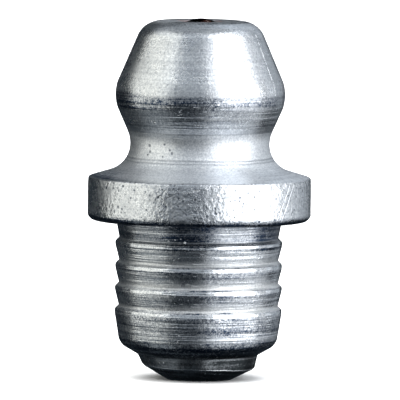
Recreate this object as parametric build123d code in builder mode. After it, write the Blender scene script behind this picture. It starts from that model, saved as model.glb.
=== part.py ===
from build123d import *
import os
from math import atan2, cos, pi, radians, sin, sqrt, tan

# Straight drive-in grease nipple, in millimetres.
# The body is turned from bar in one piece and its hollow nose is crimped over.
# A check ball closes the inlet from inside, held up by a spring that stands on the crimp.
# +Z runs up the axis to the head. z = 0 is the underside of the flange, which sits on the machine.

# ---- Head, from the top face down to the flange ----
top_corner_radius = 2.19  # top face to upper cone, before rounding
top_round = 0.88
cone_height = 2.84
belt_radius = 3.40  # upper cone to lower cone, before rounding
belt_round = 1.40
lower_cone_height = 2.56
neck_corner_radius = 2.27  # lower cone to flange top, before rounding
neck_round = 1.12

# ---- Flange ----
flange_radius = 4.29
flange_rim_height = 1.66
flange_top_rise = 0.60  # from the rim up to the neck corner
flange_top_chamfer = 0.10
flange_bottom_chamfer = 0.20

# ---- Shank, from the flange down to the nose ----
shoulder_radius = 3.19  # shank at the flange
shoulder_chamfer = 0.065  # in the corner under the flange
root_radius = 3.06
crest_radius = 3.22
barb_count = 4
barb_pitch = 0.87
first_root_depth = 0.67
ledge_height = 0.15  # the upper, catching side of a barb
crest_land = 0.09
lead_length = 1.24  # the long taper below the last crest
lead_end_radius = 3.02
lead_round = 0.50
tip_cone_height = 0.41
skirt_radius = 2.31  # the thin wall left for crimping
skirt_height = 0.52
crimp_radius = 2.02  # where the skirt is bent in
crimp_height = 0.43
nose_radius = 1.19  # outside of the flat ring that ends the nose
lip_thickness = 0.50

# ---- Ball and inlet ----
ball_diameter = 2.38
dish_radius = 0.90
dish_depth = 0.035
inlet_radius = 0.62
inlet_land = 0.028  # the straight hole between the dish and the seat
seat_angle = 59.0  # half of the drill's 118 degree point
seat_gap = 0.01  # between the ball and what it rests on
grease_gap = 0.16  # round the ball, for the grease to pass

# ---- Spring ----
wire_diameter = 0.32
wire_flats = 6  # the round wire is drawn with this many flats
coil_gap = 0.025  # between the closed end turn and the next one
coil_clearance = 0.20  # between the spring and the bore
spring_turns = 7.5
blend_turns = 0.3  # over which a flat end turn takes up the pitch
points_per_turn = 16

# ---- Levels up and down the axis ----
neck_corner_z = flange_rim_height + flange_top_rise
belt_z = neck_corner_z + lower_cone_height
head_top_z = belt_z + cone_height
first_crest_z = -first_root_depth - ledge_height
last_land_z = first_crest_z - (barb_count - 1) * barb_pitch - crest_land
lead_end_z = last_land_z - lead_length
skirt_z = lead_end_z - tip_cone_height
crimp_z = skirt_z - skirt_height
nose_z = crimp_z - crimp_height

# ---- The ball on its seat ----
ball_radius = ball_diameter / 2
bore_radius = ball_radius + grease_gap
seat_slope = radians(seat_angle)
seat_top_z = head_top_z - dish_depth - inlet_land
seat_bottom_z = seat_top_z - (bore_radius - inlet_radius) / tan(seat_slope)
ball_reach = ball_radius + seat_gap - inlet_radius * cos(seat_slope)
ball_z = seat_top_z - ball_reach / sin(seat_slope)

# ---- The spring between the ball and the crimped lip ----
wire_radius = wire_diameter / 2
coil_radius = bore_radius - coil_clearance - wire_radius
outlet_radius = coil_radius - wire_radius
lip_angle = atan2(crimp_height, crimp_radius - nose_radius)


def lip_height(radius, distance):
    """Level of a line that runs along the crimped lip, this far inside its outer face."""
    outer_face = crimp_z - (crimp_radius - radius) * crimp_height / (crimp_radius - nose_radius)
    return outer_face + distance / cos(lip_angle)


spring_bottom_z = lip_height(coil_radius, lip_thickness + seat_gap + wire_radius)
spring_top_z = ball_z - sqrt((ball_radius + seat_gap + wire_radius) ** 2 - coil_radius**2)
spring_height = spring_top_z - spring_bottom_z
end_turn_rise = wire_diameter + coil_gap
coil_pitch = (spring_height - 2 * end_turn_rise) / (spring_turns - 2)
flat_turns = 1 - blend_turns / 2 - end_turn_rise / coil_pitch


def rise_from_end(turns):
    """How far the wire has risen, this many turns from a flat end."""
    blended = max(turns - flat_turns, 0)
    if blended < blend_turns:
        return coil_pitch * blended**2 / (2 * blend_turns)
    return coil_pitch * (blended - blend_turns / 2)


def wire_centre(turns):
    """A point on the middle of the wire, counted in turns from its lower end."""
    if turns < spring_turns / 2:
        height = spring_bottom_z + rise_from_end(turns)
    else:
        height = spring_top_z - rise_from_end(spring_turns - turns)
    angle = 2 * pi * turns
    return (coil_radius * cos(angle), coil_radius * sin(angle), height)


# ---- Turned body ----
head_corners = [
    (0, head_top_z),
    (top_corner_radius, head_top_z),
    (belt_radius, belt_z),
    (neck_corner_radius, neck_corner_z),
    (flange_radius, flange_rim_height),
    (flange_radius, 0),
    (shoulder_radius, 0),
]
barb_corners = []
for barb in range(barb_count):
    crest_z = first_crest_z - barb * barb_pitch
    barb_corners.append((root_radius, crest_z + ledge_height))
    barb_corners.append((crest_radius, crest_z))
    barb_corners.append((crest_radius, crest_z - crest_land))
nose_corners = [
    (lead_end_radius, lead_end_z),
    (skirt_radius, skirt_z),
    (crimp_radius, crimp_z),
    (nose_radius, nose_z),
    (0, nose_z),
]
turned_rounds = [
    ((top_corner_radius, head_top_z), top_round),
    ((belt_radius, belt_z), belt_round),
    ((neck_corner_radius, neck_corner_z), neck_round),
    ((lead_end_radius, lead_end_z), lead_round),
]
turned_chamfers = [
    ((flange_radius, flange_rim_height), flange_top_chamfer),
    ((flange_radius, 0), flange_bottom_chamfer),
    ((shoulder_radius, 0), shoulder_chamfer),
]
passage_corners = [
    (0, head_top_z),
    (dish_radius, head_top_z),
    (inlet_radius, head_top_z - dish_depth),
    (inlet_radius, seat_top_z),
    (bore_radius, seat_bottom_z),
    (bore_radius, lip_height(bore_radius, lip_thickness)),
    (outlet_radius, lip_height(outlet_radius, lip_thickness)),
    (outlet_radius, nose_z),
    (0, nose_z),
]


def section(corners, rounds=(), chamfers=()):
    """A face beside the axis, from (radius, height) corners, some of them rounded or chamfered."""
    with BuildSketch(Plane.XZ) as profile:
        with BuildLine():
            Polyline(*corners, close=True)
        make_face()
        for corner, rounding in rounds:
            fillet(profile.vertices().sort_by_distance(corner)[0], rounding)
        for corner, length in chamfers:
            chamfer(profile.vertices().sort_by_distance(corner)[0], length)
    return profile.sketch


with BuildPart() as nipple_body:
    turned_corners = head_corners + barb_corners + nose_corners
    revolve(section(turned_corners, turned_rounds, turned_chamfers), axis=Axis.Z)
    revolve(section(passage_corners), axis=Axis.Z, mode=Mode.SUBTRACT)

# ---- Check ball ----
with BuildPart() as check_ball:
    with Locations((0, 0, ball_z)):
        Sphere(ball_radius)

# ---- Valve spring ----
wire_points = [
    wire_centre(spring_turns * step / round(spring_turns * points_per_turn))
    for step in range(round(spring_turns * points_per_turn) + 1)
]
with BuildPart() as valve_spring:
    with BuildLine() as wire_path:
        Spline(*wire_points)
    with BuildSketch(Plane(origin=wire_path.line @ 0, z_dir=wire_path.line % 0)):
        RegularPolygon(wire_radius, wire_flats)
    sweep(path=wire_path.line, is_frenet=True)

os.makedirs("parts", exist_ok=True)
for name, piece in (
    ("nipple_body", nipple_body),
    ("check_ball", check_ball),
    ("valve_spring", valve_spring),
):
    piece.part.label = name
    export_step(piece.part, f"parts/{name}.step")
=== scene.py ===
import math

import bmesh
import bpy
from bpy.props import FloatProperty, FloatVectorProperty, IntProperty, PointerProperty
from mathutils import Matrix, Quaternion, Vector, noise


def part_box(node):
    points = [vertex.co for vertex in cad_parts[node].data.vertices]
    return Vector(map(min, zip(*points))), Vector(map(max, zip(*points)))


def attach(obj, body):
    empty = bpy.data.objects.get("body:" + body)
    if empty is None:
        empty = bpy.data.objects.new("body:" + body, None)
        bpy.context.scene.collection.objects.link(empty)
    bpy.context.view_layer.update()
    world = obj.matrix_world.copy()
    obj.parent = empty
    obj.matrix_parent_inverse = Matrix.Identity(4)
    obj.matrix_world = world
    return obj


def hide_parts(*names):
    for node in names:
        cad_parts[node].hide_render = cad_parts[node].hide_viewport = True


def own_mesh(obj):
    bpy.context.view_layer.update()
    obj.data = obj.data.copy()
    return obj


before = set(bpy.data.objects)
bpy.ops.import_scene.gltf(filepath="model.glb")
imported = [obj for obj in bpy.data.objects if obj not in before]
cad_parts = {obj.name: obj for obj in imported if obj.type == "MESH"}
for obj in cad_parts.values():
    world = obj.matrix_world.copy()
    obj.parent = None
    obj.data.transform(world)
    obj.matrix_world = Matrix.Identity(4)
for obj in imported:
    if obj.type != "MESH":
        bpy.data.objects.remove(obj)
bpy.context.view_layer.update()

bl_info = {
    "name": "Grease nipple",
    "version": (1, 0, 0),
    "blender": (4, 5, 0),
    "location": "3D View > Sidebar > Grease nipple",
    "description": "A straight drive-in grease nipple with its ball and spring, on a studio floor",
    "category": "Add Mesh",
}

MM = 0.001
ROUND_STEP = 0.06 * MM  # how closely a rounded corner is divided
SIDES = 240  # faces round the turned body
CREST_REACH, CREST_WEAR = 0.09 * MM, 0.022 * MM  # how far and how deep a barb's edges are worn
RIM_REACH, RIM_WEAR = 0.22 * MM, 0.035 * MM  # the same for the flange's edges
COIL_STEPS = 48  # rings in a turn of the spring
UNROLL_RADIUS = 2.7  # in millimetres, where marks set out in degrees keep their true width
PANEL_DISTANCE = 0.30  # from the part's axis to the light panels
FULL_TURN = 2 * math.pi

body_low, body_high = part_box("nipple_body")
ball_low, ball_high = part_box("check_ball")
spring_low, spring_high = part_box("valve_spring")


# ---------------------------------------------------------------- sizes and colours


def length(name, description, millimetres):
    """A length that the user can change, given here in millimetres."""
    return FloatProperty(
        name=name, description=description, default=millimetres * MM,
        min=0.0, unit="LENGTH", precision=5,
    )


def share(name, description, default):
    return FloatProperty(
        name=name, description=description, default=default, min=0.0, max=1.0, subtype="FACTOR",
    )


def colour(name, description, default):
    return FloatVectorProperty(
        name=name, description=description, default=default, size=3,
        min=0.0, max=1.0, subtype="COLOR",
    )


def angle(name, description, degrees):
    return FloatProperty(
        name=name, description=description, default=math.radians(degrees), subtype="ANGLE",
    )


class HeadSizes(bpy.types.PropertyGroup):
    """The head that the coupler grips, and the neck under it"""

    dish_radius: length("Dish radius", "Shallow dish round the inlet", 0.90)
    top_radius: length("Top radius", "Top face to upper cone, before rounding", 2.19)
    top_round: length("Top round", "Rounding of the shoulder", 0.88)
    cone_height: length("Cone height", "Top face down to the belt", 2.84)
    belt_radius: length("Belt radius", "Widest part of the head, before rounding", 3.40)
    belt_round: length("Belt round", "Rounding of the belt", 1.40)
    lower_cone_height: length("Lower cone height", "Belt down to the neck corner", 2.56)
    neck_radius: length("Neck radius", "Lower cone to flange top, before rounding", 2.27)
    neck_round: length("Neck round", "Hollow of the neck", 1.12)


class FlangeSizes(bpy.types.PropertyGroup):
    """The round flange that sits on the machine"""

    radius: length("Flange radius", "Outside of the flange", 4.29)
    rim_height: length("Rim height", "Height of the flange's rim", 1.66)
    top_rise: length("Top rise", "From the rim up to the neck corner", 0.60)
    top_round: length("Top edge", "Rounding of the upper edge", 0.07)
    bottom_round: length("Bottom edge", "Rounding of the lower edge", 0.24)


class ShankSizes(bpy.types.PropertyGroup):
    """The barbed shank that is driven into the hole"""

    shoulder_radius: length("Shoulder radius", "Shank at the flange", 3.19)
    root_radius: length("Root radius", "Bottom of the barbs", 3.06)
    crest_radius: length("Crest radius", "Top of the barbs", 3.22)
    barbs: IntProperty(
        name="Barbs", description="How many barbs there are", default=4, min=1, max=8,
    )
    pitch: length("Pitch", "From one barb to the next", 0.87)
    first_root: length("First root", "Flange down to the first root", 0.67)
    ledge: length("Ledge", "Height of a barb's upper side", 0.15)
    land: length("Land", "Height of the flat on a crest", 0.09)
    lead: length("Lead", "Long taper below the last crest", 1.24)
    lead_radius: length("Lead radius", "End of the long taper", 3.02)
    lead_round: length("Lead round", "Rounding at the end of the long taper", 0.50)
    tip_cone: length("Tip cone", "Height of the cone below the lead", 0.41)


class NoseSizes(bpy.types.PropertyGroup):
    """The thin nose, crimped over to hold the spring"""

    skirt_radius: length("Skirt radius", "Top of the thin wall", 2.31)
    skirt: length("Skirt", "Height of the thin wall", 0.52)
    crimp_radius: length("Crimp radius", "Where the wall is bent in", 2.06)
    crimp: length("Crimp", "Height of the bent lip", 0.43)
    nose_radius: length("Nose radius", "Flat ring that ends the nose", 1.19)
    lip: length("Lip", "Thickness of the bent lip", 0.50)
    crimp_spread: length("Crimp spread", "How much wider the crimped end is on one side", 0.13)
    crimp_tilt: length("Crimp tilt", "How far the crimp line runs off level, each way", 0.06)


class ValveSizes(bpy.types.PropertyGroup):
    """The passage, the check ball and its spring"""

    inlet_radius: length("Inlet radius", "Hole in the top face", 0.62)
    inlet_land: length("Inlet land", "Straight hole above the seat", 0.028)
    dish_depth: length("Dish depth", "Depth of the dish round the inlet", 0.035)
    bore_radius: length("Bore radius", "Bore that the ball and spring run in", 1.35)
    outlet_radius: length("Outlet radius", "Hole in the crimped lip", 0.83)
    seat_angle: angle("Seat angle", "Half of the drill point's angle", 59.0)
    wire: length("Wire", "Diameter of the spring's wire", 0.32)
    closed_rise: length("Closed rise", "Rise of a closed end turn", 0.345)
    turns: FloatProperty(
        name="Turns", description="Turns of the spring, closed ends included",
        default=7.5, min=3.0,
    )


class FinishSettings(bpy.types.PropertyGroup):
    """Colours and wear of the metal"""

    zinc: colour("Zinc", "Clean zinc plating", (0.74, 0.765, 0.79))
    dull_zinc: colour("Dull zinc", "Flecks of duller plating", (0.50, 0.53, 0.57))
    # also the colour of the painted shade on the shank and the belt
    stain: colour("Stain", "Dark stain in pits and tool marks", (0.024, 0.040, 0.072))
    # on the lower tip cone this colour also carries painted shade
    grease: colour("Grease", "Dried grease on the nose and the top face", (0.036, 0.042, 0.046))
    bloom: colour("Bloom", "Pale plating built up in the roots of the barbs", (0.52, 0.51, 0.46))
    film: colour("Film", "Reddish film of old grease round the inlet", (0.22, 0.12, 0.10))
    # near black: painted shade of the ball down in the inlet
    ball_steel_in_shade: colour("Ball steel", "Dark, oily ball", (0.030, 0.022, 0.022))
    spring_steel: colour("Spring steel", "Drawn wire", (0.50, 0.48, 0.44))
    roughness: share("Roughness", "How soft the reflections are", 0.30)
    wear: share("Wear", "Depth of pits, tool marks and scratches", 1.0)


class StageSettings(bpy.types.PropertyGroup):
    """Floor, lights and camera"""

    floor_colour: colour("Floor colour", "Pale studio floor", (0.86, 0.86, 0.86))
    floor_width: length("Floor width", "Side of the square floor", 2400.0)
    camera_distance: length("Camera distance", "From the camera to the part's axis", 370.0)
    camera_height: angle("Camera height", "How far the camera looks down", 4.2)
    camera_roll: angle("Camera roll", "How far the camera leans", 0.62)
    aim_height: length("Aim height", "Height on the axis that the camera looks at", 0.77)
    aim_side: length("Aim side", "How far beside the axis the camera looks", 0.027)
    focal_length: FloatProperty(
        name="Focal length", description="In millimetres, on a 36 mm sensor", default=867.0,
    )


# ---------------------------------------------------------------- turned body


def turned_corners(head, flange, shank, nose, valve):
    """Corners (radius, height, rounding, spacing of rings) round the body's half section."""
    edge = 0.025 * MM
    fine, coarse, plain = 0.08 * MM, 0.14 * MM, 0.6 * MM
    neck_z = flange.rim_height + flange.top_rise
    belt_z = neck_z + head.lower_cone_height
    top_z = belt_z + head.cone_height
    corners = [
        (head.dish_radius, top_z, 0.015 * MM, coarse),
        (head.top_radius, top_z, head.top_round, coarse),
        (head.belt_radius, belt_z, head.belt_round, fine),
        (head.neck_radius, neck_z, head.neck_round, coarse),
        (flange.radius, flange.rim_height, flange.top_round, coarse),
        (flange.radius, 0.0, flange.bottom_round, plain),
        (shank.shoulder_radius, 0.0, edge, fine),
    ]
    crest_z = -shank.first_root - shank.ledge
    for barb in range(shank.barbs):
        corners += [
            (shank.root_radius, crest_z + shank.ledge, edge, fine),
            (shank.crest_radius, crest_z, 0.06 * MM, fine),
            (shank.crest_radius, crest_z - shank.land, edge, fine),
        ]
        crest_z -= shank.pitch
    lead_z = crest_z + shank.pitch - shank.land - shank.lead
    skirt_z = lead_z - shank.tip_cone
    crimp_z = skirt_z - nose.skirt
    nose_z = crimp_z - nose.crimp
    lip_rise = nose.crimp / (nose.crimp_radius - nose.nose_radius)
    lip_inside = nose.lip * math.hypot(1.0, lip_rise) + crimp_z

    def lip_z(radius):
        return lip_inside - (nose.crimp_radius - radius) * lip_rise

    seat_top = top_z - valve.dish_depth - valve.inlet_land
    seat_drop = (valve.bore_radius - valve.inlet_radius) / math.tan(valve.seat_angle)
    corners += [
        (shank.lead_radius, lead_z, shank.lead_round, fine),
        (nose.skirt_radius, skirt_z, edge, coarse),
        (nose.crimp_radius, crimp_z, 0.30 * MM, coarse),
        (nose.nose_radius, nose_z, edge, plain),
        (valve.outlet_radius, nose_z, edge, plain),
        (valve.outlet_radius, lip_z(valve.outlet_radius), 0.10 * MM, plain),
        (valve.bore_radius, lip_z(valve.bore_radius), 0.20 * MM, plain),
        (valve.bore_radius, seat_top - seat_drop, edge, plain),
        (valve.inlet_radius, seat_top, 0.005 * MM, plain),
        (valve.inlet_radius, top_z - valve.dish_depth, 0.008 * MM, plain),
    ]
    return corners


def draw_section(bm, corners):
    """Draws the closed half section as a loop of edges, with its corners rounded."""
    verts = [bm.verts.new((radius, 0.0, height)) for radius, height, _, _ in corners]
    for vert, following in zip(verts, verts[1:] + verts[:1]):
        bm.edges.new((vert, following))
    points = [vert.co.copy() for vert in verts]
    for i, vert in enumerate(verts):
        rounding = corners[i][2]
        turn = (points[i] - points[i - 1]).angle(points[(i + 1) % len(points)] - points[i])
        segments = max(2, math.ceil(rounding * turn / ROUND_STEP))
        bmesh.ops.bevel(
            bm, geom=[vert], offset=rounding * math.tan(turn / 2), offset_type="OFFSET",
            affect="VERTICES", segments=segments, profile=0.5, material=-1,
        )


def divide_section(bm, corners):
    """Divides the long edges of the section, close together where the tool marks are fine."""
    for edge in list(bm.edges):
        middle = (edge.verts[0].co + edge.verts[1].co) / 2
        spans = zip(corners, corners[1:] + corners[:1])
        spacing = min(spans, key=lambda span: off_line(middle, *span))[0][3]
        cuts = math.ceil(edge.calc_length() / spacing) - 1
        if cuts > 0:
            bmesh.ops.subdivide_edges(bm, edges=[edge], cuts=cuts)


def off_line(point, start, end):
    """Distance from a point of the section to the line between two of its corners."""
    a, b = Vector((start[0], 0.0, start[1])), Vector((end[0], 0.0, end[1]))
    along = max(0.0, min(1.0, (point - a).dot(b - a) / (b - a).length_squared))
    return (point - a.lerp(b, along)).length


def corners_at(corners, radius):
    """The (radius, height) of each corner that has this radius."""
    return [corner[:2] for corner in corners if corner[0] == radius]


def knock_edges(bm, edges, reach, depth):
    """Wears these rings of the body, each at a (radius, height), inwards by uneven amounts."""
    for vert in bm.verts:
        radius = math.hypot(vert.co.x, vert.co.y)
        for edge_radius, edge_height in edges:
            near = 1 - math.hypot(radius - edge_radius, vert.co.z - edge_height) / reach
            if near > 0:
                place = vert.co / MM
                dent = 0.5 + 0.5 * noise.noise(place * 1.7) + 0.35 * noise.noise(place * 6.0)
                kept = 1 - depth * min(near * 1.5, 1.0) * max(dent, 0.0) / radius
                vert.co.x *= kept
                vert.co.y *= kept


def bend_crimp(bm, nose, skirt_z):
    """Makes the crimp wider on one side, and the line where it is bent off level and wavy."""
    crimp_z = skirt_z - nose.skirt
    nose_z = crimp_z - nose.crimp
    lean = (nose.skirt_radius - nose.crimp_radius) / nose.skirt
    for vert in bm.verts:
        x, y, z = vert.co
        radius = math.hypot(x, y)
        on_skirt = z > crimp_z
        inner = nose.crimp_radius * 0.97 if on_skirt else nose.nose_radius * 0.99
        if z > skirt_z or radius <= inner:
            continue
        near_crimp = (skirt_z - z) / nose.skirt if on_skirt else (z - nose_z) / nose.crimp
        wave = 0.15 * noise.noise(Vector((x, y, 0.0)) / MM * 1.3)
        lift = nose.crimp_tilt * (1 - x / radius + max(wave, -0.1)) * near_crimp
        spread = nose.crimp_spread * max(x / radius, 0.0) * (near_crimp if on_skirt else 1.0)
        outward = 1 + (lift * lean + spread) / radius
        vert.co = Vector((x * outward, y * outward, z + lift))


class NIPPLE_OT_turned_body(bpy.types.Operator):
    """Turn the body and its passage from one half section"""

    bl_idname = "nipple.turned_body"
    bl_label = "Turned body"

    def execute(self, context):
        scene = context.scene
        flange, shank, nose = scene.nipple_flange, scene.nipple_shank, scene.nipple_nose
        corners = turned_corners(scene.nipple_head, flange, shank, nose, scene.nipple_valve)
        bm = bmesh.new()
        draw_section(bm, corners)
        divide_section(bm, corners)
        bmesh.ops.spin(
            bm, geom=bm.verts[:] + bm.edges[:], cent=(0, 0, 0), axis=(0, 0, 1), dvec=(0, 0, 0),
            angle=FULL_TURN, steps=SIDES, use_merge=True, use_duplicate=False,
        )
        knock_edges(bm, corners_at(corners, shank.crest_radius), CREST_REACH, CREST_WEAR)
        knock_edges(bm, corners_at(corners, flange.radius), RIM_REACH, RIM_WEAR)
        bend_crimp(bm, nose, corners_at(corners, nose.skirt_radius)[0][1])
        body = finish_mesh(bm, "turned_body")
        body.data.materials.append(zinc_finish(scene.nipple_finish, flange, shank, nose))
        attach(body, "body")
        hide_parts("nipple_body")
        return {"FINISHED"}


def finish_mesh(bm, name):
    """Closes seams, turns every face outwards and makes the object."""
    bmesh.ops.remove_doubles(bm, verts=bm.verts[:], dist=1e-7)
    bmesh.ops.recalc_face_normals(bm, faces=bm.faces[:])
    for face in bm.faces:
        face.smooth = True
    mesh = bpy.data.meshes.new(name)
    bm.to_mesh(mesh)
    bm.free()
    return place_object(name, mesh)


def place_object(name, data):
    """A new object in the scene, holding this mesh, light or camera."""
    obj = bpy.data.objects.new(name, data)
    bpy.context.scene.collection.objects.link(obj)
    return obj


# ---------------------------------------------------------------- ball and spring


class NIPPLE_OT_check_ball(bpy.types.Operator):
    """Make the ball that closes the inlet"""

    bl_idname = "nipple.check_ball"
    bl_label = "Check ball"

    def execute(self, context):
        bm = bmesh.new()
        bmesh.ops.create_uvsphere(
            bm, u_segments=96, v_segments=48, radius=(ball_high.z - ball_low.z) / 2,
            matrix=Matrix.Translation((ball_low + ball_high) / 2),
        )
        ball = finish_mesh(bm, "sealing_ball")
        ball.data.materials.append(oily_steel_in_shade(context.scene.nipple_finish))
        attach(ball, "ball")
        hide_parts("check_ball")
        return {"FINISHED"}


class NIPPLE_OT_valve_spring(bpy.types.Operator):
    """Coil the spring, with a closed turn at each end"""

    bl_idname = "nipple.valve_spring"
    bl_label = "Valve spring"

    def execute(self, context):
        valve = context.scene.nipple_valve
        wire_radius = valve.wire / 2
        coil_radius = spring_high.x - wire_radius
        bottom, top = spring_low.z + wire_radius, spring_high.z - wire_radius
        open_turns = valve.turns - 2
        open_rise = (top - bottom - 2 * valve.closed_rise) / open_turns
        upright = Matrix.Rotation(math.pi / 2, 4, "X")
        bm = bmesh.new()
        section = bmesh.ops.create_circle(
            bm, cap_ends=True, radius=wire_radius, segments=16,
            matrix=Matrix.Translation((coil_radius, 0.0, bottom)) @ upright,
        )
        last = section["verts"] + bm.edges[:] + bm.faces[:]
        closed_end = (1.0, valve.closed_rise)
        for turns, rise in (closed_end, (open_turns, open_rise), closed_end):
            steps = round(turns * COIL_STEPS)
            made = bmesh.ops.spin(
                bm, geom=last, cent=(0, 0, 0), axis=(0, 0, 1), dvec=(0, 0, turns * rise / steps),
                angle=turns * FULL_TURN, steps=steps, use_merge=False, use_duplicate=False,
            )
            last = made["geom_last"]
        spring = finish_mesh(bm, "coil_spring")
        spring.data.materials.append(drawn_wire(context.scene.nipple_finish))
        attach(spring, "body")
        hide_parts("valve_spring")
        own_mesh(spring)
        return {"FINISHED"}


# ---------------------------------------------------------------- wear, stain and painted shade on the body
#
# Each table is a graph of (place, amount) stops, with straight lines between them. Beyond its ends
# a graph keeps its first and last amounts. Places up the axis are in millimetres. Places round the
# axis are in radians from the front, with the right positive. Places on a barb are shares of the
# pitch, counted down from its crest.

LINE_DEPTH = (  # turning lines, up the axis
    (-6.12, 0.10), (-5.70, 0.10), (-5.60, 0.15), (-5.20, 0.15), (-4.80, 0.30), (-4.40, 0.60),
    (-3.60, 0.60), (-3.40, 0.40), (-0.95, 0.40), (-0.80, 0.70), (-0.05, 0.80), (0.02, 0.06),
    (1.64, 0.06), (1.70, 0.10), (2.00, 0.18), (2.20, 0.10), (3.50, 0.10), (3.75, 0.55),
    (4.62, 0.55), (4.74, 0.28), (4.85, 0.12), (7.10, 0.08), (7.30, 0.05), (7.58, 0.05),
    (7.64, 0.35),
)
SPECK_DEPTH = (  # small pits and grains, up the axis
    (-6.12, 0.40), (-5.70, 0.30), (-5.60, 0.15), (-5.20, 0.20), (-4.60, 0.50), (-3.60, 0.35),
    (-1.50, 0.25), (-0.90, 0.08), (-0.05, 0.08), (0.02, 1.00), (1.64, 1.00), (1.70, 0.50),
    (2.00, 0.40), (2.40, 0.20), (3.50, 0.15), (3.90, 0.30), (4.80, 0.50), (5.10, 0.60),
    (7.00, 0.60), (7.30, 0.50),
)
SOFTNESS = (  # extra roughness on the flange's top, the neck and the top face, up the axis
    (1.64, 0.00), (1.70, 0.10), (2.20, 0.10), (2.60, 0.14), (3.30, 0.14), (3.80, 0.00),
    (7.30, 0.00), (7.50, 0.04), (7.65, 0.08),
)
SATIN = (  # where the plating is less like a mirror, up the axis
    (1.66, 0.00), (1.72, 0.11), (2.10, 0.11), (2.60, 0.05), (3.30, 0.00), (7.58, 0.00),
    (7.65, 0.12),
)
GROOVES = (  # single deeper tool lines: height and half width in millimetres, and depth
    (-4.30, 0.03, 1.0), (-4.15, 0.03, 0.9), (-4.05, 0.03, 0.6), (-3.88, 0.03, 0.6),
    (-3.73, 0.03, 0.5), (2.33, 0.04, 1.0), (2.44, 0.04, 1.2), (3.47, 0.05, 0.7),
    (3.74, 0.04, 0.8),
)

# The dip at -5.18 leaves a thin lighter line along the top of the thin wall: a painted highlight.
# The heavy band just above it, on the tip cone, is stain with painted shade.
STAIN = (  # all round the body, up the axis
    (-6.12, 1.00), (-5.68, 1.00), (-5.60, 0.84), (-5.24, 0.84), (-5.18, 0.45), (-5.12, 1.00),
    (-5.04, 1.40), (-4.80, 1.28), (-4.62, 0.90), (-4.48, 0.40), (-4.40, 0.16), (-4.15, 0.18),
    (-4.00, 0.32), (-3.55, 0.60), (-3.50, 0.10), (-0.66, 0.10), (-0.10, 0.20), (0.00, 1.10),
    (0.10, 0.75), (0.30, 0.10), (2.20, 0.10), (3.40, 0.06), (3.60, 0.24), (4.38, 0.30),
    (4.56, 0.50), (4.74, 0.62), (4.85, 0.50), (4.94, 0.10), (7.20, 0.14), (7.50, 0.18),
    (7.57, 0.40), (7.65, 0.72),
)
STAIN_MOTTLE = (  # how blotchy the stain is, up the axis
    (-5.12, 0.25), (-5.04, 0.60), (-4.60, 0.70), (-4.40, 1.00), (-0.80, 1.00), (-0.70, 0.40),
    (-0.05, 0.40), (0.00, 1.00), (1.66, 1.00), (1.72, 0.80), (2.60, 0.80), (3.00, 1.00),
    (4.60, 1.00), (4.70, 0.70), (4.90, 0.70), (5.00, 1.00), (7.40, 1.00), (7.60, 0.55),
)
FLANK_STAIN = (  # on a barb
    (0.00, 0.00), (0.10, 0.00), (0.13, 0.48), (0.35, 0.34), (0.62, 0.14), (0.75, 0.02),
    (0.90, 0.02), (0.94, 0.55), (0.985, 0.60), (1.00, 0.10),
)
FLANK_HEIGHTS = (
    (-3.54, 0.00), (-3.50, 1.00), (-1.72, 1.00), (-1.50, 0.60), (-0.92, 0.60), (-0.90, 0.00),
)
LEDGE_SHADE = (  # painted shade, on a barb
    (0.00, 0.10), (0.03, 0.00), (0.50, 0.00), (0.66, 0.90), (0.97, 1.00), (1.00, 0.10),
)
LEDGE_SHADE_HEIGHTS = (
    (-3.50, 0.00), (-3.46, 0.42), (-3.00, 0.42), (-2.80, 0.26), (-2.00, 0.20), (-1.60, 0.12),
    (-0.92, 0.10), (-0.90, 0.00),
)
# Darkest at the front and the right, where the metal reflects the dark room: painted shade.
SHOULDER_SHADE_ROUND = (  # painted shade and stain above the barbs, round the axis
    (-2.40, 0.70), (-1.20, 0.90), (-0.75, 0.80), (-0.50, 0.90), (-0.30, 1.35), (0.10, 1.30),
    (0.30, 0.75), (0.65, 0.95), (0.90, 1.60), (1.50, 1.30), (2.20, 0.80),
)
SHOULDER_SHADE_HEIGHTS = (
    (-1.06, 0.00), (-1.00, 0.45), (-0.66, 0.35), (-0.58, 0.75), (-0.45, 0.75), (-0.36, 0.55),
    (-0.10, 0.60), (0.00, 0.30), (0.03, 0.00),
)
# Heavier at the front and the right, where the right glow is reflected: painted shade.
SMEAR_AND_SHADE_ROUND = (  # stain and painted shade on the thin wall and lead, round the axis
    (-2.40, 0.60), (-1.30, 0.82), (-0.60, 0.82), (-0.25, 0.60), (0.10, 1.00), (0.30, 1.20),
    (0.90, 1.20), (1.50, 1.00), (2.20, 0.60),
)
SMEAR_AND_SHADE_HEIGHTS = (
    (-5.66, 0.00), (-5.60, 0.90), (-5.26, 0.90), (-5.22, 0.00), (-4.32, 0.00), (-4.24, 0.46),
    (-3.70, 0.46), (-3.55, 0.00),
)
FLANGE_END_HEIGHTS = ((1.64, 0.0), (1.70, 1.0), (2.20, 0.5), (2.60, 0.0))  # on the flange's top
# painted shade under the belt, on the left
BELT_LEFT_SHADE_HEIGHTS = ((4.20, 0.0), (4.40, 0.75), (4.55, 1.0), (4.85, 1.0), (4.93, 0.0))
LEFT_LIGHTENING_HEIGHTS = ((-5.66, 0.0), (-5.60, 1.0), (-5.24, 1.0), (-5.20, 0.0))
GREASE_HEIGHTS = ((-5.15, 1.0), (-4.95, 0.0), (7.50, 0.0), (7.65, 0.7))  # stain that is grease
DULL_HEIGHTS = ((-5.15, 0.35), (-4.95, 0.0), (7.48, 0.0), (7.62, 1.0))  # grease without a sheen

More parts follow.
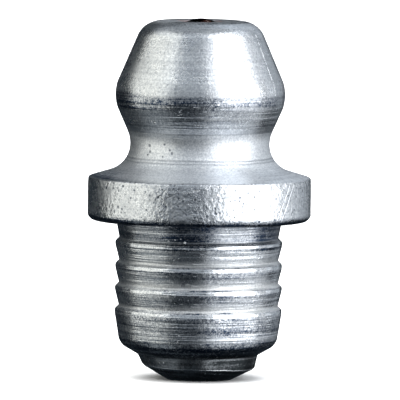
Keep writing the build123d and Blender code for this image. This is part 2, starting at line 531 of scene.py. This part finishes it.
BARE_CREST = ((0.0, 1.0), (0.08, 1.0), (0.12, 0.0), (0.95, 0.0), (0.99, 1.0))  # on a barb
CREST_HEIGHTS = ((-3.60, 0.0), (-3.54, 1.0), (-1.20, 1.0), (-1.10, 0.0))
FIRST_CREST_HEIGHTS = ((-1.20, 0.0), (-1.10, 1.0), (-0.80, 1.0), (-0.74, 0.0))
ROOT_BLOOM = ((0.55, 0.0), (0.80, 0.34), (0.91, 0.36), (0.95, 0.1), (1.0, 0.0))  # on a barb
BLOOM_HEIGHTS = (
    (-3.54, 0.0), (-3.45, 0.9), (-2.00, 0.9), (-1.60, 0.7), (-1.10, 0.4), (-0.50, 0.1),
    (-0.30, 0.0),
)

NECK_PITS = (  # round the axis in degrees, height and radius in millimetres
    (-46, 2.97, 0.09), (-45, 2.74, 0.08), (-47, 2.62, 0.06), (-30, 3.04, 0.06),
    (-25, 2.82, 0.06), (-23, 2.71, 0.08), (-31, 2.58, 0.05), (104, 2.80, 0.08),
    (-150, 2.55, 0.07), (171, 3.02, 0.06),
)
BRIGHT_NICKS = (  # the same
    (-48, -5.66, 0.05), (-43, -5.67, 0.04), (9, -5.76, 0.05), (21, -5.77, 0.04),
    (27, -5.77, 0.05), (37, -5.06, 0.04), (-36, -5.38, 0.07), (-41, -5.40, 0.05),
    (-10, -0.65, 0.05), (-17, -0.56, 0.04), (-22, -0.62, 0.05), (-13, -0.52, 0.03),
    (-35, 3.86, 0.06), (-38, 3.92, 0.04), (12, 4.62, 0.05), (150, 3.9, 0.06),
    (-140, -0.6, 0.05), (95, -5.7, 0.06), (48, -1.30, 0.06), (51, -1.28, 0.05),
    (165, 1.1, 0.07), (-120, 4.9, 0.05),
)

SCRATCH_HEIGHTS = ((-0.02, 0.0), (0.0, 1.0), (1.62, 1.0), (1.68, 0.0))
PEBBLE_HEIGHTS = ((-0.02, 0.0), (0.05, 1.0), (1.60, 1.0), (1.68, 0.0))
SCRATCH_PLACE = 0.760  # radians round the axis, at the flange's underside
SCRATCH_LEAN = -0.1292  # radians round the axis for each millimetre up
SCRATCH_SPREAD = 0.13  # from the middle to each of the two scratches, in millimetres
DASH_PLACE = math.radians(61)  # the broken scratch up the head
DASH_HEIGHTS = ((4.85, 0.0), (4.95, 1.0), (7.15, 1.0), (7.25, 0.0))

MARKS = (  # name, depth in thousandths of a millimetre, and how much darker it is
    ("grooves", 9.0, 0.35),
    ("pebbles", -22.0, 0.0),
    ("dimples", 0.0, 0.16),
    ("spots", 5.0, 0.60),
    ("pits", 10.0, 0.60),
    ("rim scratches", 9.0, 0.0),
    ("dashes", 16.0, -0.50),
    ("hairlines", 5.0, 0.0),
    ("burr", -22.0, -1.10),
    ("nicks", -14.0, -1.80),
)


# ---------------------------------------------------------------- materials


class Finish:
    """A material under construction: its nodes, and the place on the part, in millimetres."""

    def __init__(self, name):
        self.material = bpy.data.materials.new(name)
        self.material.use_nodes = True
        self.tree = self.material.node_tree
        self.shader = self.tree.nodes["Principled BSDF"]
        place = self.add("TexCoord").outputs["Object"]
        self.place = self.vector("MULTIPLY", place, (1 / MM, 1 / MM, 1 / MM))
        apart = self.add("SeparateXYZ", {0: self.place})
        self.x, self.y, self.z = apart.outputs
        self.radius = self.vector("LENGTH", self.vector("MULTIPLY", self.place, (1, 1, 0)))
        self.around = self.math("ARCTAN2", self.x, self.math("MULTIPLY", self.y, -1.0))

    def add(self, kind, inputs=None, **settings):
        """A new node with its settings and inputs, which are values or other nodes' outputs."""
        made = self.tree.nodes.new("ShaderNode" + kind)
        count = len(self.tree.nodes)
        made.location = (-180 * (count % 12) - 200, -260 * (count // 12))
        for name, value in settings.items():
            setattr(made, name, value)
        for key, value in (inputs or {}).items():
            self.put(made.inputs[key], value)
        return made

    def put(self, socket, value):
        """Gives a socket its value, or links it to another node's output."""
        if isinstance(value, bpy.types.NodeSocket):
            self.tree.links.new(value, socket)
        else:
            socket.default_value = value

    def set(self, **values):
        """Sets sockets of the metal shader, such as base_color or roughness."""
        for name, value in values.items():
            self.put(self.shader.inputs[name.replace("_", " ").title()], value)

    def math(self, operation, a, b=0.0, c=0.0):
        return self.add("Math", {0: a, 1: b, 2: c}, operation=operation).outputs[0]

    def vector(self, operation, a, b=(0, 0, 0)):
        made = self.add("VectorMath", {0: a, 1: b}, operation=operation)
        return made.outputs["Value" if operation in ("LENGTH", "DISTANCE") else "Vector"]

    def times(self, product, *factors):
        """All of these multiplied together."""
        for factor in factors:
            product = self.math("MULTIPLY", product, factor)
        return product

    def total(self, start, *parts):
        """The start, and to it each part's value times its weight."""
        for value, weight in parts:
            start = self.math("MULTIPLY_ADD", value, weight, start)
        return start

    def away(self, value, middle=0.0):
        """How far the value is from the middle, either way."""
        return self.math("ABSOLUTE", self.math("SUBTRACT", value, middle))

    def wander(self, value, cloud, spread):
        """The value, moved up and down by a cloud, over this spread."""
        return self.total(value, (self.math("SUBTRACT", cloud, 0.5), spread))

    def stretch(self, value, low, high, to_low=0.0, to_high=1.0):
        """A smooth step from to_low to to_high as value goes from low to high."""
        inputs = {
            "Value": value, "From Min": low, "From Max": high, "To Min": to_low, "To Max": to_high,
        }
        return self.add("MapRange", inputs, interpolation_type="SMOOTHSTEP").outputs[0]

    def curve(self, value, low, high, stops):
        """Reads off a graph of (value, result) stops between low and high."""
        inputs = {"Value": value, "From Min": low, "From Max": high}
        graph = self.add("ValToRGB", {0: self.add("MapRange", inputs).outputs[0]})
        elements = graph.color_ramp.elements
        while len(elements) < len(stops):
            elements.new(0.5)
        for element, (place, result) in zip(elements, sorted(stops)):
            element.position = (place - low) / (high - low)
            element.color = (result, result, result, 1.0)
        return graph.outputs["Color"]

    def up(self, stops, height=None):
        """Reads off a graph up the axis, at the height in millimetres or another one."""
        return self.curve(height or self.z, body_low.z / MM, body_high.z / MM, stops)

    def turn(self, stops):
        """Reads off a graph round the axis."""
        return self.curve(self.around, -math.pi, math.pi, stops)

    def cloud(self, scale, detail=2.0, where=None, roughness=0.5):
        """Noise about a half, with this many cells in a millimetre."""
        inputs = {"Vector": where or self.place, "Scale": scale, "Detail": detail}
        return self.add("TexNoise", {**inputs, "Roughness": roughness}).outputs[0]

    def rings(self, per_mm, length_mm, detail):
        """Tool marks that run round the part: fine up the section, long round it."""
        feed = self.math("SUBTRACT", self.z, self.radius)
        where = self.add("CombineXYZ", {
            0: self.math("DIVIDE", self.x, length_mm),
            1: self.math("DIVIDE", self.y, length_mm),
            2: self.math("MULTIPLY", feed, per_mm),
        })
        return self.cloud(1.0, detail, where.outputs[0], 0.6)

    def streaks(self, tilt, cells, detail):
        """Noise drawn out into straight streaks, from its cells in a millimetre each way."""
        where = self.add("Mapping", {"Vector": self.place, "Rotation": tilt, "Scale": cells})
        return self.cloud(1.0, detail, where.outputs[0])

    def dots(self, places):
        """Round marks. Each is (degrees round the axis, height, radius), in millimetres."""
        round_it = self.math("MULTIPLY", self.around, UNROLL_RADIUS)
        unrolled = self.add("CombineXYZ", {0: round_it, 1: self.z}).outputs[0]
        found = 0.0
        for degrees, height, size in places:
            place = (math.radians(degrees) * UNROLL_RADIUS, height, 0.0)
            off = self.vector("DISTANCE", unrolled, place)
            found = self.math("MAXIMUM", found, self.stretch(off, size * 0.3, size, 1.0, 0.0))
        return found

    def relief(self, height, wear):
        """The surface's normal, bumped by a height in thousandths of a millimetre."""
        inputs = {"Strength": wear, "Distance": 0.001 * MM, "Height": height}
        return self.add("Bump", inputs).outputs[0]

    def mix(self, share, a, b):
        """Colour a where the share is 0, and colour b where it is 1."""
        first, second = 6, 7  # the node's colour sockets
        made = self.add("Mix", {0: share, first: a, second: b}, data_type="RGBA")
        return made.outputs[2]


def rgba(rgb):
    return (*rgb, 1.0)


def zinc_finish(finish, flange, shank, nose):
    """Zinc-plated turned steel: speckle, pits, tool marks, stained roots and a scratched rim, with
    painted shade and painted highlights on the shank, belt and nose.
    """
    zinc = Finish("zinc_plated_steel")
    lines = zinc.rings(13.0, 5.0, 2.0)
    bands = zinc.rings(3.5, 8.0, 1.0)
    specks = zinc.cloud(9.0, 2.0, roughness=0.6)
    grain = zinc.cloud(20.0, 1.0)
    patches = zinc.cloud(1.3, 3.0)
    first_crest = (shank.first_root + shank.ledge) / MM
    pitches = zinc.math("DIVIDE", zinc.math("ADD", zinc.z, first_crest), -shank.pitch / MM)
    below_crest = zinc.math("FRACT", pitches)
    crest = bare_crests_and_glints(zinc, below_crest)
    marks = single_marks(zinc, flange, nose, specks, patches)

    line_depth = zinc.times(zinc.up(LINE_DEPTH), zinc.total(1.0, (crest, -0.7)))
    speck_depth = zinc.up(SPECK_DEPTH)
    marks["spots"] = zinc.times(marks["spots"], speck_depth, speck_depth)
    height = zinc.total(  # in thousandths of a millimetre
        0.0,
        (zinc.times(lines, line_depth), 60.0), (zinc.times(bands, line_depth), 45.0),
        (zinc.times(specks, speck_depth), 15.0), (zinc.times(grain, speck_depth), 5.0),
        *((marks[name], -depth) for name, depth, _ in MARKS),
    )

    # real stain together with painted shade
    stain = stain_and_painted_shade(zinc, below_crest, patches)
    stain = zinc.times(stain, zinc.math("SUBTRACT", 1.0, crest))
    mottle = zinc.total(  # evenly above and below nought
        -7.5, (patches, 2.0), (specks, 3.0), (grain, 3.5), (lines, 5.0), (bands, 1.5),
    )
    uneven = zinc.times(zinc.up(STAIN_MOTTLE), zinc.stretch(zinc.around, 0.1, 0.5, 1.0, 0.75))
    dark = zinc.times(stain, zinc.total(1.0, (mottle, uneven)))
    dark = zinc.total(dark, *((marks[name], darker) for name, _, darker in MARKS))
    dark = zinc.math("MINIMUM", zinc.math("MAXIMUM", dark, 0.0), 1.0)

    fleck = zinc.stretch(zinc.cloud(15.0, 2.0, roughness=0.7), 0.32, 0.66)
    bloom = zinc.times(
        zinc.curve(below_crest, 0.0, 1.0, ROOT_BLOOM), zinc.up(BLOOM_HEIGHTS),
        zinc.stretch(zinc.around, -1.3, -0.2, 0.6, 1.0),
        zinc.stretch(patches, 0.3, 0.5, 0.6, 1.0),
    )
    film = zinc.times(
        zinc.stretch(zinc.radius, 0.84, 0.98, 1.0, 0.0), zinc.stretch(zinc.z, 7.50, 7.58),
        zinc.stretch(zinc.cloud(2.6, 3.0, roughness=0.6), 0.40, 0.56, 0.15, 1.0),
    )
    # the colour of both the stain and the painted shade: grease low on the nose and on the top
    # face
    stain_and_shade_colour = zinc.mix(zinc.up(GREASE_HEIGHTS), rgba(finish.stain), rgba(finish.grease))
    tone = zinc.mix(fleck, rgba(finish.dull_zinc), rgba(finish.zinc))
    tone = zinc.mix(bloom, tone, rgba(finish.bloom))
    tone = zinc.mix(film, tone, rgba(finish.film))
    tone = zinc.mix(dark, tone, stain_and_shade_colour)
    dull = zinc.times(dark, zinc.up(DULL_HEIGHTS))
    gloss = zinc.stretch(patches, 0.3, 0.7, finish.roughness - 0.06, finish.roughness + 0.02)
    metal = zinc.total(1.0, (bloom, -0.45), (zinc.up(SATIN), -1.0), (film, -0.5))
    zinc.set(
        base_color=tone,
        specular_tint=zinc.mix(dull, (1.0, 1.0, 1.0, 1.0), rgba(finish.grease)),
        metallic=zinc.math("MAXIMUM", metal, 0.0),
        roughness=zinc.total(gloss, (zinc.up(SOFTNESS), 1.0), (crest, -0.12), (bloom, 0.20)),
        normal=zinc.relief(height, finish.wear),
    )
    return zinc.material


def bare_crests_and_glints(zinc, below_crest):
    """How bare the barbs' crests are rubbed: the first one at its sides, the others all round, all
    half as bare on the left. Laid by side, this adds painted glints and painted shade to the wear.
    """
    # the first crest is bare only at its sides, where the highlights fall: a painted glint
    rubbed = zinc.stretch(zinc.away(zinc.around, -0.12), 0.15, 0.45, 0.0, 0.8)
    first = zinc.times(zinc.up(FIRST_CREST_HEIGHTS), rubbed)
    return zinc.times(
        zinc.curve(below_crest, 0.0, 1.0, BARE_CREST),
        zinc.math("ADD", zinc.up(CREST_HEIGHTS), first),
        # half as bare on the left: painted shade on the left glints
        zinc.stretch(zinc.around, -0.5, -0.3, 0.5, 1.0),
    )


def stain_and_painted_shade(zinc, below_crest, patches):
    """How dark the stain and the painted shade are: from the height, from smears, from painted
    shade by side on the shoulder, barbs, belt, thin wall and lead, and lighter on the thin wall's
    left.
    """
    left_shade_rise = zinc.times(  # painted shade: on the left the stain starts a little higher
        zinc.stretch(zinc.around, -1.1, -0.5, 1.0, 0.0), zinc.stretch(zinc.around, -2.2, -1.6),
    )
    flanks = zinc.times(  # with a wavy edge, and thickest at the front as painted shade
        zinc.curve(zinc.wander(below_crest, patches, 0.22), 0.0, 1.0, FLANK_STAIN),
        zinc.up(FLANK_HEIGHTS),
        zinc.stretch(zinc.away(zinc.around), 0.15, 0.75, 1.25, 0.85),
    )
    left_ledge_shade = zinc.times(  # painted shade dimming the glints, on the left only
        zinc.curve(below_crest, 0.0, 1.0, LEDGE_SHADE), zinc.up(LEDGE_SHADE_HEIGHTS),
        zinc.stretch(zinc.around, -0.35, -0.05, 1.0, 0.0),
    )
    # the flange's top is darker towards its ends, most at the left
    left_end_darkening = zinc.stretch(zinc.x, -3.9, -2.0, 0.75, 0.0)
    right_end_darkening = zinc.stretch(zinc.x, 1.0, 3.0, 0.0, 0.34)
    flange_end_darkening = zinc.times(zinc.math("ADD", left_end_darkening, right_end_darkening), zinc.up(FLANGE_END_HEIGHTS))
    belt_left_shade = zinc.times(  # painted shade under the belt, on the left
        zinc.stretch(zinc.around, -1.0, -0.6, 0.8, 0.0), zinc.stretch(zinc.around, -2.4, -1.8),
        zinc.up(BELT_LEFT_SHADE_HEIGHTS),
    )
    # painted shade and stain on the shoulder, darkest at the front and the right
    shoulder = zinc.times(zinc.turn(SHOULDER_SHADE_ROUND), zinc.up(SHOULDER_SHADE_HEIGHTS))
    # stain on the thin wall and the lead, with painted shade at the front and the right
    smears = zinc.times(zinc.turn(SMEAR_AND_SHADE_ROUND), zinc.up(SMEAR_AND_SHADE_HEIGHTS))
    stain = zinc.up(STAIN, zinc.total(zinc.z, (left_shade_rise, -0.10)))
    for added_stain_and_shade in (flanks, left_ledge_shade, flange_end_darkening, belt_left_shade, shoulder, smears):
        stain = zinc.math("MAXIMUM", stain, added_stain_and_shade)
    # the thin wall is a little lighter on the left
    left_lightening = zinc.times(zinc.up(LEFT_LIGHTENING_HEIGHTS), zinc.stretch(zinc.around, -0.45, -0.30, 0.2, 0.0))
    return zinc.times(stain, zinc.math("SUBTRACT", 1.0, left_lightening))


def single_marks(zinc, flange, nose, specks, patches):
    """How much of each kind of mark there is, by its name in MARKS."""
    groove_stops = [
        stop for height, half, depth in GROOVES
        for stop in ((height - half, 0.0), (height, depth), (height + half, 0.0))
    ]
    pebbles = zinc.cloud(5.5, 1.0)
    pebbled = zinc.up(PEBBLE_HEIGHTS)

    cells = zinc.add("TexVoronoi", {"Vector": zinc.place, "Scale": 6.5})
    chance = zinc.add("SeparateColor", {0: cells.outputs["Color"]}).outputs[0]
    past_spot = zinc.math(
        "SUBTRACT", cells.outputs["Distance"], zinc.total(-0.12, (chance, 0.55)),
    )

    slanted = zinc.total(zinc.math("SUBTRACT", zinc.around, SCRATCH_PLACE), (zinc.z, SCRATCH_LEAN))
    from_middle = zinc.away(zinc.times(slanted, flange.radius / MM))
    off_scratch = zinc.away(from_middle, SCRATCH_SPREAD)
    off_dashes = zinc.away(zinc.around, DASH_PLACE)

    crimp_z = (body_low.z + nose.crimp) / MM
    off_level = zinc.math("SUBTRACT", 1.0, zinc.math("DIVIDE", zinc.x, zinc.radius))
    above_crimp = zinc.math("SUBTRACT", zinc.z, crimp_z)
    above_crimp = zinc.total(above_crimp, (off_level, -nose.crimp_tilt / MM))
    off_burr = zinc.away(zinc.wander(above_crimp, patches, 0.10))

    return {
        "grooves": zinc.up(groove_stops),
        "pebbles": zinc.times(pebbles, pebbled),
        "dimples": zinc.times(zinc.stretch(pebbles, 0.34, 0.46, 1.0, 0.0), pebbled),
        "spots": zinc.stretch(past_spot, -0.14, 0.02, 1.0, 0.0),
        "pits": zinc.dots(NECK_PITS),
        "rim scratches": zinc.times(
            zinc.stretch(off_scratch, 0.0, 0.04, 1.0, 0.0), zinc.up(SCRATCH_HEIGHTS),
        ),
        "dashes": zinc.times(
            zinc.stretch(off_dashes, 0.004, 0.014, 1.0, 0.0), zinc.stretch(specks, 0.42, 0.50),
            zinc.up(DASH_HEIGHTS),
        ),
        "hairlines": zinc.stretch(
            zinc.streaks((0.5, 0.9, 0.7), (1.2, 22.0, 22.0), 1.0), 0.68, 0.73,
        ),
        "burr": zinc.times(
            zinc.stretch(off_burr, 0.0, 0.045, 1.0, 0.0), zinc.stretch(zinc.radius, 1.6, 1.7),
        ),
        "nicks": zinc.times(zinc.dots(BRIGHT_NICKS), zinc.stretch(specks, 0.36, 0.52, 0.3, 1.0)),
    }


def oily_steel_in_shade(finish):
    """Polished ball, painted near black as painted shade down in the inlet, with smears of old
    grease and a few fine scratches.
    """
    steel = Finish("oily_ball_steel")
    smears = steel.cloud(2.2, 3.0)
    hair = steel.stretch(steel.streaks((0.4, 0.2, 1.1), (0.8, 16.0, 16.0), 2.0), 0.60, 0.66)
    specks = steel.stretch(steel.cloud(14.0, 1.0), 0.66, 0.72)
    oil = steel.stretch(smears, 0.40, 0.72, 0.0, 0.5)
    tone = steel.mix(oil, rgba(finish.ball_steel_in_shade), rgba(finish.film))
    steel.set(
        metallic=1.0,
        base_color=steel.mix(specks, tone, rgba(finish.spring_steel)),
        # the dark tint dims the ball's reflections too: painted shade
        specular_tint=rgba(finish.ball_steel_in_shade),
        roughness=steel.stretch(smears, 0.3, 0.7, 0.14, 0.34),
        normal=steel.relief(steel.total(0.0, (hair, -1.0), (smears, 6.0)), finish.wear),
    )
    return steel.material


def drawn_wire(finish):
    """Spring wire: drawing lines along it, and oil in patches between bright rubbed ones."""
    wire = Finish("drawn_spring_wire")
    along = wire.add("CombineXYZ", {
        0: wire.math("MULTIPLY", wire.around, 0.4),
        1: wire.math("MULTIPLY", wire.radius, 30.0),
        2: wire.math("MULTIPLY", wire.z, 30.0),
    })
    lines = wire.cloud(1.0, 2.0, along.outputs[0])
    patches = wire.cloud(1.6, 3.0)
    specks = wire.cloud(14.0, 2.0)
    oil = wire.times(wire.stretch(patches, 0.40, 0.62), wire.stretch(specks, 0.30, 0.55, 0.4, 1.0))
    wire.set(
        metallic=1.0,
        base_color=wire.mix(oil, rgba(finish.spring_steel), rgba(finish.stain)),
        roughness=wire.stretch(patches, 0.3, 0.7, 0.24, 0.42),
        normal=wire.relief(wire.total(0.0, (specks, 5.0), (lines, 8.0)), finish.wear),
    )
    return wire.material


# ---------------------------------------------------------------- stage

WHITE, WARM, COOL = (1.0, 1.0, 1.0), (1.0, 0.985, 0.90), (0.85, 0.92, 1.0)
SOFTBOXES = (  # name, span round the part and span of height in degrees, brightness, tint
    ("right softbox", (25.5, 89), (-20, 65), 2.7, WHITE),
    ("right softbox corner", (15, 25.5), (54, 68), 1.8, WHITE),
    ("right spread", (12, 120), (-24, 66), 0.70, (0.96, 0.98, 1.0)),
    ("right edge", (108, 152), (-16, 60), 0.47, (0.88, 0.94, 1.0)),
    ("right table glow", (12, 112), (-66, -22), 0.78, (0.95, 0.98, 1.0)),
    ("left softbox", (-106, -45.5), (-20, 58), 1.35, WARM),
    ("left softbox top", (-119, -106), (14, 58), 1.0, WARM),
    ("left table glow", (-103, -52), (-66, -22), 0.26, (0.90, 0.97, 1.0)),
    ("front fill", (-54, 16), (0, 66), 0.45, (0.88, 0.94, 1.0)),
    ("front low fill", (-54, 16), (-13, 0), 0.16, COOL),
    ("high back fill", (150, 184), (26, 62), 1.0, COOL),
    ("right back fill", (145, 180), (10, 26), 0.40, COOL),
)
ROOM = (0.022, 0.030, 0.038)  # what the metal reflects between the light panels
BACKDROP = (1.05, 1.05, 1.05)


def direction(azimuth, elevation):
    """Unit vector from the part. Azimuth 0 is towards the camera and 90 is to its right."""
    a, e = math.radians(azimuth), math.radians(elevation)
    return Vector((math.sin(a) * math.cos(e), -math.cos(a) * math.cos(e), math.sin(e)))


def aim_back(obj, facing, roll=0.0):
    """Turns a light or a camera so that it looks against this direction."""
    obj.rotation_mode = "QUATERNION"
    obj.rotation_quaternion = facing.to_track_quat("Z", "Y") @ Quaternion((0, 0, 1), roll)


def light_panel(name, place, facing, width, height, brightness, tint):
    data = bpy.data.lights.new(name, "AREA")
    data.shape = "RECTANGLE"
    data.size = width
    data.size_y = height
    data.color = tint
    data.energy = brightness * math.pi * width * height
    light = place_object(name, data)
    light.location = place
    light.visible_camera = False
    aim_back(light, facing)


def softbox(name, azimuths, elevations, brightness, tint):
    """An upright light panel that spans these directions, in degrees, as seen from the part."""
    away = direction(sum(azimuths) / 2, 0)
    width = 2 * PANEL_DISTANCE * math.tan(math.radians(azimuths[1] - azimuths[0]) / 2)
    low, high = (PANEL_DISTANCE * math.tan(math.radians(elevation)) for elevation in elevations)
    place = away * PANEL_DISTANCE + Vector((0, 0, (low + high) / 2))
    light_panel(name, place, away, width, high - low, brightness, tint)


def lay_floor(stage):
    """The pale floor, which takes shadows but isn't reflected in the metal."""
    bm = bmesh.new()
    bmesh.ops.create_grid(
        bm, x_segments=2, y_segments=2, size=stage.floor_width / 2,
        matrix=Matrix.Translation((0, 0, body_low.z)),
    )
    mesh = bpy.data.meshes.new("floor")
    bm.to_mesh(mesh)
    bm.free()
    floor = place_object("floor", mesh)
    floor.visible_glossy = False
    floor.visible_diffuse = False
    floor.visible_shadow = False
    material = bpy.data.materials.new("pale floor")
    material.use_nodes = True
    shader = material.node_tree.nodes["Principled BSDF"]
    shader.inputs["Base Color"].default_value = rgba(stage.floor_colour)
    shader.inputs["Roughness"].default_value = 0.9
    shader.inputs["Specular IOR Level"].default_value = 0.0
    mesh.materials.append(material)


def hang_lights():
    """A broad overhead light for the shadow, and the panels that the metal reflects."""
    data = bpy.data.lights.new("overhead", "SUN")
    data.energy = 6.5
    data.angle = math.radians(80)
    overhead = place_object("overhead", data)
    overhead.visible_glossy = False
    aim_back(overhead, direction(-30, 75))
    for panel in SOFTBOXES:
        softbox(*panel)
    above = Vector((0, 0, 1))
    light_panel(
        "overhead panel", above * PANEL_DISTANCE, above, 0.66, 0.50, 0.42, (0.9, 0.95, 1.0),
    )


def paint_room():
    """A dim room for the metal to reflect, with a white backdrop behind it for the camera."""
    world = bpy.data.worlds.new("studio")
    world.use_nodes = True
    bpy.context.scene.world = world
    tree = world.node_tree
    room = tree.nodes["Background"]
    room.inputs["Color"].default_value = rgba(ROOM)
    backdrop = tree.nodes.new("ShaderNodeBackground")
    backdrop.inputs["Color"].default_value = rgba(BACKDROP)
    path = tree.nodes.new("ShaderNodeLightPath")
    mix = tree.nodes.new("ShaderNodeMixShader")
    tree.links.new(path.outputs["Is Camera Ray"], mix.inputs[0])
    tree.links.new(room.outputs[0], mix.inputs[1])
    tree.links.new(backdrop.outputs[0], mix.inputs[2])
    tree.links.new(mix.outputs[0], tree.nodes["World Output"].inputs["Surface"])


def set_up_camera(stage):
    data = bpy.data.cameras.new("camera")
    data.lens = stage.focal_length
    data.sensor_width = 36.0
    data.clip_start, data.clip_end = 0.01, 10.0
    camera = place_object("camera", data)
    back = direction(0, math.degrees(stage.camera_height))
    aim = Vector((stage.aim_side, 0.0, stage.aim_height))
    camera.location = aim + back * stage.camera_distance
    aim_back(camera, back, stage.camera_roll)
    bpy.context.scene.camera = camera


class NIPPLE_OT_stage(bpy.types.Operator):
    """Set up the floor, the lights and the camera"""

    bl_idname = "nipple.stage"
    bl_label = "Stage"

    def execute(self, context):
        stage = context.scene.nipple_stage
        lay_floor(stage)
        hang_lights()
        paint_room()
        set_up_camera(stage)
        context.scene.view_settings.view_transform = "Standard"
        return {"FINISHED"}


# ---------------------------------------------------------------- add-on


class NIPPLE_PT_panel(bpy.types.Panel):
    """Sizes, colours and the steps that build the part"""

    bl_label = "Grease nipple"
    bl_idname = "NIPPLE_PT_panel"
    bl_space_type = "VIEW_3D"
    bl_region_type = "UI"
    bl_category = "Grease nipple"

    def draw(self, context):
        for name, _ in SETTINGS:
            box = self.layout.box()
            group = getattr(context.scene, name)
            for prop in group.bl_rna.properties:
                if prop.identifier not in ("rna_type", "name"):
                    box.prop(group, prop.identifier)
        for step in STEPS:
            self.layout.operator(step.bl_idname)


SETTINGS = (
    ("nipple_head", HeadSizes),
    ("nipple_flange", FlangeSizes),
    ("nipple_shank", ShankSizes),
    ("nipple_nose", NoseSizes),
    ("nipple_valve", ValveSizes),
    ("nipple_finish", FinishSettings),
    ("nipple_stage", StageSettings),
)
STEPS = (NIPPLE_OT_turned_body, NIPPLE_OT_check_ball, NIPPLE_OT_valve_spring, NIPPLE_OT_stage)


def register():
    for _, group in SETTINGS:
        bpy.utils.register_class(group)
    for cls in (*STEPS, NIPPLE_PT_panel):
        bpy.utils.register_class(cls)
    for name, group in SETTINGS:
        setattr(bpy.types.Scene, name, PointerProperty(type=group))


def unregister():
    for name, _ in SETTINGS:
        delattr(bpy.types.Scene, name)
    for cls in (NIPPLE_PT_panel, *reversed(STEPS)):
        bpy.utils.unregister_class(cls)
    for _, group in reversed(SETTINGS):
        bpy.utils.unregister_class(group)


def main():
    register()
    bpy.ops.nipple.turned_body()
    bpy.ops.nipple.check_ball()
    bpy.ops.nipple.valve_spring()
    bpy.ops.nipple.stage()


if __name__ == "__main__":
    main()
